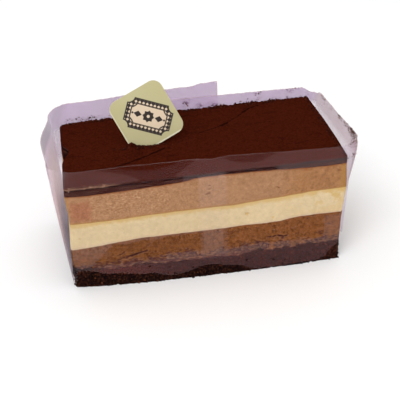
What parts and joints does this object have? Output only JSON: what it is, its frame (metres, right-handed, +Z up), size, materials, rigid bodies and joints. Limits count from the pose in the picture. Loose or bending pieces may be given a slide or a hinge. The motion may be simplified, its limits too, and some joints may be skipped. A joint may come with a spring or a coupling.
{
  "type": "triple chocolate mousse cake bar",
  "caption": "Rectangular bar of layered chocolate mousse cake with a cocoa-dusted top, in an open clear film collar, with a small leaning card tag pushed into its top.",
  "frame": {"origin": "middle of the cake's flat underside", "axes": "+Z up out of the cocoa-dusted top, +X along the cake's length to the shown side's right, -Y out of the shown long side"},
  "size_m": [0.1184, 0.0592, 0.0665],
  "materials": {
    "sponge": "dark chocolate sponge, coarse and crumbly",
    "dark_mousse": "dark chocolate mousse, cut face with fine bubbles and short cracks",
    "white_mousse": "white chocolate mousse, smooth cream with pale ochre stains",
    "milk_mousse": "milk chocolate mousse, tan with fine bubbles",
    "cocoa": "set ganache dusted with cocoa powder",
    "clear_film": "clear flexible film with a faint lavender haze",
    "card": "printed pale olive card"
  },
  "bodies": {
    "root": {"sponge_base": "sponge", "dark_mousse": "dark_mousse", "white_mousse": "white_mousse", "milk_mousse": "milk_mousse", "ganache": "cocoa", "film_collar": "clear_film", "tag": "card"}
  },
  "joints": []
}
